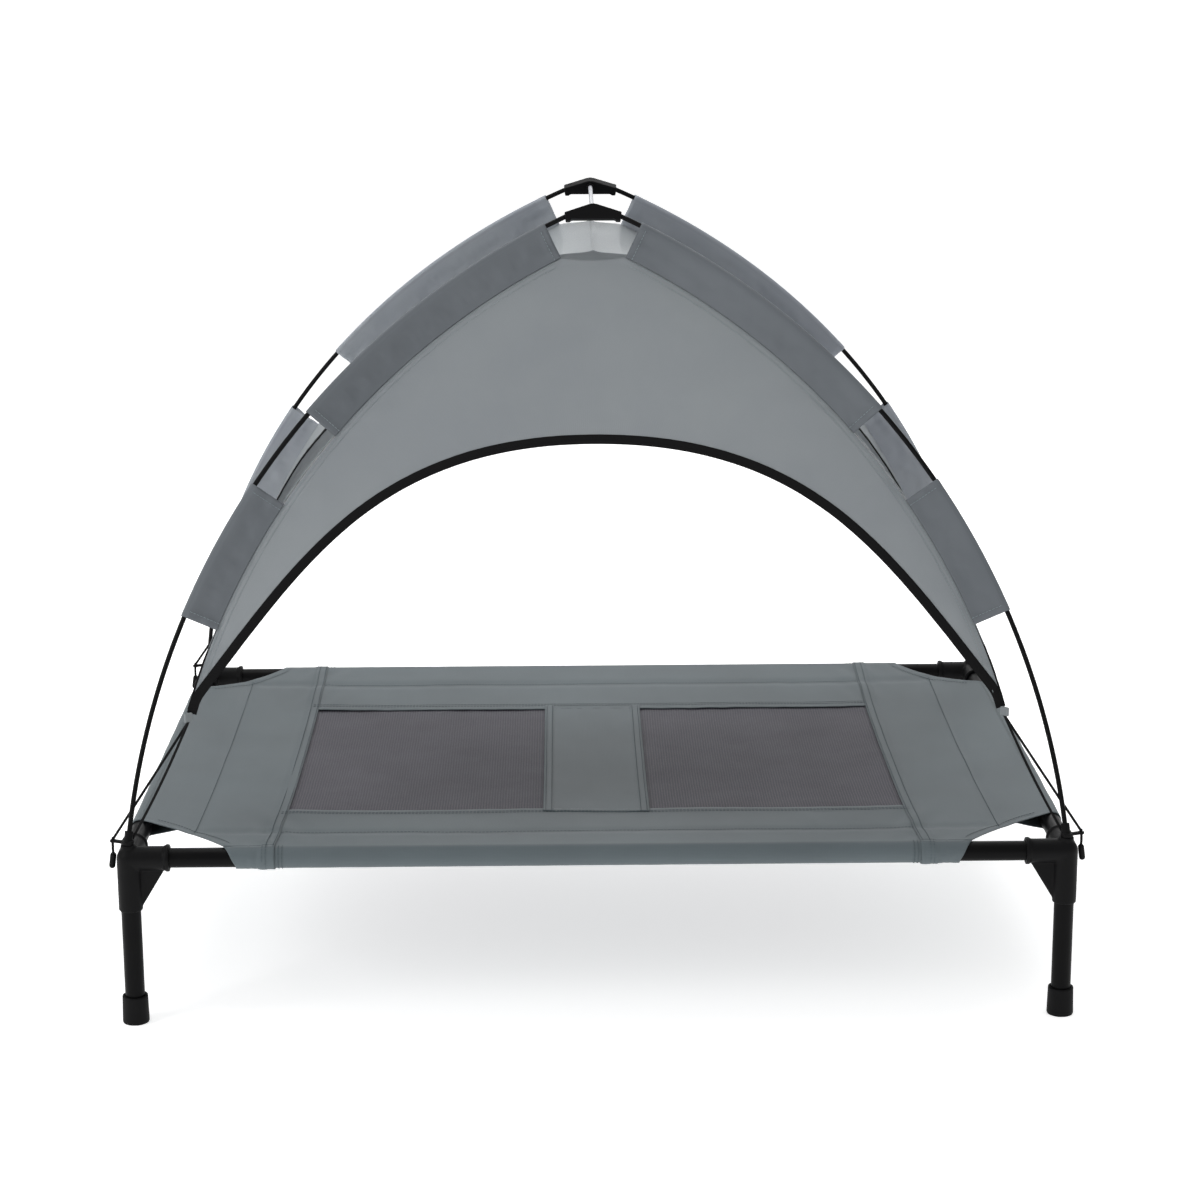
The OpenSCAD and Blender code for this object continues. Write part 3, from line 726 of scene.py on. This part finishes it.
def frontPlace(side):
    flat = 0.14        # share of the columns that end on the straight top edge

    def upper(s):
        f = abs(s)
        if f <= flat:
            scallop = 0.003 * (1 - (f / flat) ** 2)
            return Vector((s / flat * arch["topHalf"], topT - scallop))
        angle = lerp(topAngle, tipAngle + 0.003, (f - flat) / (1 - flat))
        return Vector((math.copysign(arcX + seamR * math.cos(angle), s),
                       arcT + seamR * math.sin(angle)))

    def place(u, v):
        s = 2 * u - 1
        low = flareOff(tipX, arch["frontRise"], s * 0.985, arch["bind"] * 0.45)
        low.y += arch["tipH"]
        high = upper(s)
        limit = seamX(low.y) - 0.001
        low.x = max(-limit, min(limit, low.x))
        p = low.lerp(high, v)
        return onArch(side, p.x, p.y, panelOut(p.x, p.y, side))

    return (260, 90, (2 * tipX, 0.32), place)


for where, side in sides.items():
    panel = gridPatches("Panel_" + where, [frontPlace(side)])
    # the width between the lower corners by the depth in the middle, which is less than
    # the cut's bounding rectangle, because the arched opening takes most of that
    thicken(panel, arch["cloth"])
    finishPiece(panel, "canopy", canopyPolyesterPaintedThroughLight, ["panel_" + where])

# the roof's outline from the ridge down to a lower corner, by length
ridgeZ = archZ + topT * cosL + 0.003
outline = [(0.0, ridgeZ)]
for i in range(81):
    angle = lerp(topAngle, tipAngle, i / 80)
    outline.append((arcX + seamR * math.cos(angle), archZ + (arcT + seamR * math.sin(angle)) * cosL))
outline = np.array(outline)
steps = np.hypot(*np.diff(outline, axis=0).T)
reach = np.concatenate([[0], np.cumsum(steps)])
roofLength = reach[-1]
reach = reach / roofLength


def roofAt(tau):
    return float(np.interp(tau, reach, outline[:, 0])), float(np.interp(tau, reach, outline[:, 1]))


def tauAt(z):
    return float(np.interp(-z, -outline[:, 1], reach))


def seamY(z):
    return cornerY - (z - archZ) / cosL * sinL - arch["seamBack"] / cosL


def roofPoint(sx, y, tau, lift=0.0):
    # a point of the roof: stretched between the arches, so it dips between them
    x, z = roofAt(tau)
    x2, z2 = roofAt(min(tau + 0.01, 1))
    x1, z1 = roofAt(max(tau - 0.01, 0))
    along = Vector((x2 - x1, 0, z2 - z1)).normalized()
    out = Vector((-along.z, 0, along.x))
    f = min(abs(y) / seamY(z), 1)
    dip = 0.013 * (1 - f ** 2) * (0.55 + 0.45 * smoothStep(tau / 0.15))
    ridge = 0.0016 * math.exp(-(x / 0.004) ** 2)
    ripple = 0.0011 * noise.noise(Vector((x * 9, y * 12, sx * 3 + z * 6)))
    p = Vector((x, y, z)) + out * (lift - dip + ripple + ridge)
    return Vector((sx * max(p.x, 0), p.y, p.z))


def sideLow(s):
    # the side opening's edge on the roof, as (y, tau)
    p = flareOff(tipY, arch["sideRise"], s * 0.985, arch["bind"] * 0.45)
    z = p.y + tipZ
    limit = seamY(z) - 0.001
    return max(-limit, min(limit, p.x)), tauAt(z)


for where, sx in (("left", -1), ("right", 1)):
    def roofPlace(u, v):
        s = 2 * u - 1
        yLow, tauLow = sideLow(s)
        share = yLow / seamY(roofAt(tauLow)[1])
        tau = lerp(tauLow, 0, v)
        z = roofAt(tau)[1]
        return roofPoint(sx, seamY(z) * lerp(share, s, smoothStep(v * 1.6)), tau)
    panel = gridPatches("Panel_" + where, [(150, 150, (2 * tipY, roofLength), roofPlace)])
    thicken(panel, arch["cloth"])
    finishPiece(panel, "canopy", canopyPolyesterPaintedThroughLight, ["panel_" + where])


def sleevePlace(side, sx, start, end, seed):
    # two layers from the seam, folded round the pole
    channel = arch["poleR"] + 0.0009
    layer = 0.0009
    a0, a1 = poleAngle(start), poleAngle(end)
    flat = arch["web"] - channel
    loop = 2 * flat + math.pi * channel * 1.35

    def place(u, v):
        angle = lerp(a0, a1, v)
        edge = min(v, 1 - v) * (end - start)
        d = u * loop
        if d < flat:
            r, n = seamR + d, -lerp(layer, channel, smoothStep(d / flat) ** 3)
            share = d / flat
        elif d > loop - flat:
            r, n = seamR + loop - d, lerp(layer, channel, smoothStep((loop - d) / flat) ** 3)
            share = (loop - d) / flat
        else:
            turn = math.pi * (d - flat) / (loop - 2 * flat)
            r, n = arcR + channel * math.sin(turn), -channel * math.cos(turn)
            share = 1.0
        ripple = noise.noise(Vector((angle * 45, share * 2.2, seed))) * 0.0018 \
            + noise.noise(Vector((angle * 170, share * 3, seed))) * 0.0005
        # drawn tight round the pole, the cloth pleats a little near its sewn ends
        pleat = 0.0011 * math.sin(9 * share + 5 * seed) * math.exp(-edge / 0.02)
        ripple += pleat
        hem = 0.0007 * smoothStep((0.010 - edge) / 0.0015) * math.copysign(1, n)
        n += ripple * math.sin(math.pi * min(share, 0.999)) + hem
        n -= arch["seamBack"] * (1 - share)
        return onArc(side, sx, angle, r, n)

    return place, loop, flat / loop


sleeveHems = []
for where, sx, sy in corners:
    patches = []
    total = 0
    for start, end in (arch["lowSleeve"],
                       (arch["upSleeve"], (endAngle - arch["footAngle"]) * arcR - arch["topBare"])):
        place, loop, front = sleevePlace(sy, sx, start, end, sx + 2 * sy + start)
        sleeveHems.append((sy, place, front, 0.008 / (end - start)))
        patches.append((64, max(int((end - start) / 0.003), 8), (loop, end - start), place))
        total += end - start
    sleeve = gridPatches("Sleeves_" + where, patches)
    thicken(sleeve, arch["cloth"])
    # the sleeves at the back get the paler colour with painted backlight; the front ones keep the
    # cloth's colour
    finishPiece(sleeve, "canopy", sleevePolyester if sy < 0 else rearSleevePaintedBacklight, ["sleeves_" + where])
print("canopy panels done")


tapeShape = {
    "half": arch["bind"] / 2,
    "thick": 0.0011,       # from the middle of the edge out to the tape's face
    "around": 24,
    "uvSize": (0.026, 1.2),
}


def tapePatch(middle, outward, across, count):
    # binding tape folded over an edge: a flat loop swept along middle(s)
    def place(u, v):
        s = lerp(-1, 1, v)
        c = middle(s)
        out, side = outward(s), across(s)
        turn = 2 * math.pi * u
        a, b = math.cos(turn), math.sin(turn)
        flat = math.copysign(abs(a) ** 0.6, a) * tapeShape["half"]
        high = math.copysign(abs(b) ** 0.8, b) * tapeShape["thick"]
        pucker = 0.0004 * noise.noise(c * 120)
        return c + side * flat + out * (high + pucker)

    return (tapeShape["around"], count, tapeShape["uvSize"], place)


for where, side in sides.items():
    def frontMiddle(s):
        p = flareOff(tipX, arch["frontRise"], s, arch["bind"] / 2)
        t = p.y + arch["tipH"]
        limit = seamX(t) - 0.004
        p.x = softMin(abs(p.x), limit, 0.004) * (1 if s > 0 else -1) if abs(p.x) > 0.2 else p.x
        return onArch(side, p.x, t, panelOut(p.x, t, side) + 0.0002)

    def frontAcross(s):
        a, b = frontMiddle(max(s - 0.01, -1)), frontMiddle(min(s + 0.01, 1))
        out = Vector((0, side * cosL, sinL))
        return (b - a).normalized().cross(out).normalized()

    tape = gridPatches("Binding_" + where, [tapePatch(
        frontMiddle, lambda s: Vector((0, side * cosL, sinL)), frontAcross, 260)], 1e-6)
    capEnds(tape)
    finishPiece(tape, "canopy", tapeBlack, ["binding_" + where])

for where, sx in (("left", -1), ("right", 1)):
    def sideMiddle(s, lift=0.0):
        p = flareOff(tipY, arch["sideRise"], s, arch["bind"] / 2)
        z = p.y + tipZ
        limit = seamY(z) - 0.004
        y = softMin(abs(p.x), limit, 0.004) * (1 if s > 0 else -1) if abs(p.x) > 0.2 else p.x
        return roofPoint(sx, y, tauAt(z), lift + 0.0002)

    def sideOut(s):
        return (sideMiddle(s, 0.01) - sideMiddle(s)).normalized()

    def sideAcross(s):
        a, b = sideMiddle(max(s - 0.01, -1)), sideMiddle(min(s + 0.01, 1))
        return (b - a).normalized().cross(sideOut(s)).normalized()

    tape = gridPatches("Binding_" + where, [tapePatch(sideMiddle, sideOut, sideAcross, 220)], 1e-6)
    capEnds(tape)
    finishPiece(tape, "canopy", tapeBlack, ["binding_" + where])
print("bindings done")

# felled seams and hems of the canopy
rows = []
for where, sx, sy in corners:
    out = Vector((0, sy * cosL, sinL))
    for offset in (0.0025, 0.0075):
        row = []
        for i in range(161):
            angle = lerp(tipAngle + 0.03, topAngle - 0.01, i / 160)
            x = arcX + (seamR - offset) * math.cos(angle)
            t = arcT + (seamR - offset) * math.sin(angle)
            row.append(onArch(sy, sx * x, t, panelOut(sx * x, t, sy) + 0.0005))
        rows.append((row, out))
for sy, place, front, inset in sleeveHems:
    # the outer layer of a sleeve runs from its fold to the seam at u = 1
    out = Vector((0, sy * cosL, sinL))
    for v in (inset, 1 - inset):
        points = [place(1 - front * (0.04 + 0.94 * i / 20), v) for i in range(21)]
        rows.append(([p + out * 0.0005 for p in points], out))
stitchRows("Canopy_stitching", rows, "canopy", threadLight)

tether = {"r": 0.0015, "earX": 0.0175, "earBack": 0.00665, "collar": 0.0042}
toggles = mouldedCopy("tether_toggles", "Tether_toggles", 0.0005, 3)
finishPiece(toggles, "canopy", nylon, ["tether_toggles"])
tabParts = []
for where, sx, sy in corners:
    tip = Vector((sx * (tipX - 0.002), sy * (tipY - 0.002), tipZ - 0.002))
    foot = archZ + tether["collar"]
    starts = [Vector((sx * (cornerX - 0.004), sy * (cornerY - 0.005), foot)),
              Vector((sx * (cornerX + tether["earX"]), sy * (cornerY - tether["earBack"]), foot))]
    ends = [tip + Vector((0, sy * 0.003, -0.005)), tip + Vector((0, -sy * 0.003, -0.005))]
    strands = []
    for k, (a, b) in enumerate(zip(starts, ends)):
        def strandPath(f, a=a, b=b, k=k):
            p = a.lerp(b, f)
            slack = 0.002 * math.sin(math.pi * f)
            return p + Vector((-sx * slack * 0.6 * (1 - 2 * k), sy * 0.2 * slack, -slack))
        strands.append(sweepTube("strand", strandPath, tether["r"], 60, 14))
    drop = starts[1]
    strands.append(sweepTube("strand", lambda f: drop + Vector((
        sx * 0.0006 * math.sin(math.pi * f), 0.0004 * math.sin(6 * f), 0.002 - 0.022 * f)),
        tether["r"], 24, 14))
    bm = bmesh.new()
    for strand in strands:
        bm.from_mesh(strand.data)
        bpy.data.objects.remove(strand)
    cord = objectFrom(bm, "Tether_" + where)
    finishPiece(cord, "canopy", elasticBlack, ["tether_" + where])
tabs = mouldedCopy("corner_tabs", "Corner_tabs", 0.0006, 8)
tabs.data.uv_layers.new(name="cloth")
finishPiece(tabs, "canopy", tabGrey, ["corner_tabs"])
print("tethers done")

studio = {"world": 0.5, "floorGlow": 0.58, "backdrop": 1.35, "domeR": 14}
world = bpy.data.worlds.new("studio")
bpy.context.scene.world = world
world.use_nodes = True
sky = world.node_tree.nodes["Background"]
sky.inputs["Color"].default_value = (1, 1, 1, 1)
sky.inputs["Strength"].default_value = studio["world"]

floorMat = newMaterial("white studio floor", **{
    "Base Color": hexLinear("f4f4f4"), "Roughness": 0.9, "Specular IOR Level": 0.1,
    "Emission Color": (1, 1, 1, 1), "Emission Strength": studio["floorGlow"]})[0]
bm = bmesh.new()
bmesh.ops.create_grid(bm, x_segments=4, y_segments=4, size=studio["domeR"])
floor = objectFrom(bm, "Floor")
floor.data.materials.append(floorMat)

# a pale dome that is seen but lights nothing, so that every side has the same ground
domeMat = newMaterial("white backdrop", **{
    "Base Color": (0, 0, 0, 1), "Roughness": 1.0, "Specular IOR Level": 0.0,
    "Emission Color": (1, 1, 1, 1), "Emission Strength": studio["backdrop"]})[0]
bm = bmesh.new()
bmesh.ops.create_uvsphere(bm, u_segments=48, v_segments=24, radius=studio["domeR"])
bmesh.ops.reverse_faces(bm, faces=bm.faces)
dome = objectFrom(bm, "Backdrop")
dome.data.materials.append(domeMat)
dome.visible_diffuse = False
dome.visible_glossy = False
dome.visible_transmission = False
dome.visible_shadow = False


def areaLight(name, place, target, size, power):
    data = bpy.data.lights.new(name, "AREA")
    data.shape = "RECTANGLE"
    data.size, data.size_y = size
    data.energy = power
    obj = bpy.data.objects.new(name, data)
    bpy.context.scene.collection.objects.link(obj)
    obj.location = place
    obj.rotation_euler = (Vector(target) - Vector(place)).to_track_quat("-Z", "Y").to_euler()
    return obj


areaLight("top softbox", (-0.2, 0.7, 3.3), (0, 0, 0.4), (2.8, 2.2), 46)
areaLight("left key", (-2.8, -1.7, 2.1), (0, 0, 0.45), (1.6, 1.6), 36)
areaLight("right fill", (3.0, -1.4, 2.2), (0, 0, 0.45), (1.6, 1.6), 2)
areaLight("back light", (0.2, 3.2, 2.0), (0, 0, 0.5), (2.4, 1.4), 26)

view = {"place": (-0.036, -3.314, 1.225), "yaw": 0.76, "pitch": 14.13, "roll": -0.24, "lens": 84.0}
camData = bpy.data.cameras.new("camera")
camData.lens = view["lens"]
camData.sensor_width = 36
camData.clip_end = 100
camera = bpy.data.objects.new("camera", camData)
bpy.context.scene.collection.objects.link(camera)
camera.matrix_world = Matrix.Translation(view["place"]) \
    @ Matrix.Rotation(math.radians(-view["yaw"]), 4, "Z") \
    @ Matrix.Rotation(math.radians(90 - view["pitch"]), 4, "X") \
    @ Matrix.Rotation(math.radians(view["roll"]), 4, "Z")
bpy.context.scene.camera = camera
bpy.context.scene.view_settings.view_transform = "Standard"
